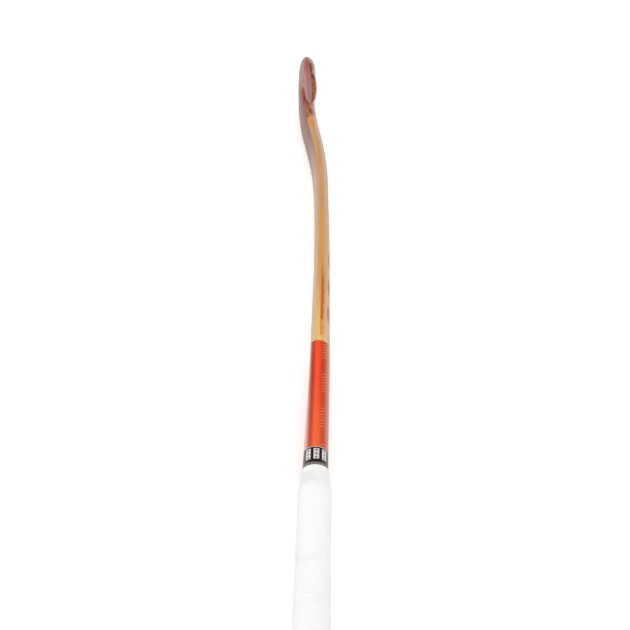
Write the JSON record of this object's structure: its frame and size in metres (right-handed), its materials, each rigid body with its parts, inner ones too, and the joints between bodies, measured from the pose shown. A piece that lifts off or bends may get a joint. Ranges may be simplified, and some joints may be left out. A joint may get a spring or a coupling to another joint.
{
  "type": "indoor field hockey stick",
  "caption": "Laminated wooden indoor hockey stick: hooked head with a flat playing face and rounded back, tapering shaft, printed sleeve, label band, wound white grip and butt cap.",
  "frame": {"origin": "centre of the butt's flat end", "axes": "+Y from the butt along the straight handle to the head, +Z towards the upturned toe, -X out of the flat playing face, +X out of the rounded back"},
  "size_m": [0.0572, 0.927, 0.105],
  "materials": {
    "mulberry": "satin lacquer over bare mulberry wood",
    "face_lacquer": "gloss lacquer over a painted glass-fibre skin",
    "back_lacquer": "gloss lacquer over a painted glass-fibre skin",
    "manau_cane": "bare cane, hidden",
    "spring_rubber": "matte, hidden",
    "binding_thread": "glued thread, hidden",
    "printed_film": "gloss printed film",
    "label_film": "semi-gloss printed film",
    "finishing_tape": "pale tape",
    "grip_foam": "foam sleeve, hidden",
    "grip_tape": "soft matte tape",
    "butt_rubber": "matte moulded rubber"
  },
  "bodies": {
    "root": {"lamination_1_heel": "mulberry", "lamination_2": "mulberry", "lamination_3": "mulberry", "lamination_4": "mulberry", "lamination_5": "mulberry", "lamination_6_throat": "mulberry", "face_skin": "face_lacquer", "back_skin": "back_lacquer", "cane_heel_face": "manau_cane", "cane_heel_back": "manau_cane", "cane_toe_face": "manau_cane", "cane_toe_back": "manau_cane", "rubber_spring_wide": "spring_rubber", "rubber_spring_face": "spring_rubber", "rubber_spring_back": "spring_rubber", "splice_binding": "binding_thread", "printed_band": "printed_film", "label_band": "label_film", "finishing_tape": "finishing_tape", "grip_cushion": "grip_foam", "grip_tape": "grip_tape", "butt_cap": "butt_rubber"}
  },
  "joints": []
}
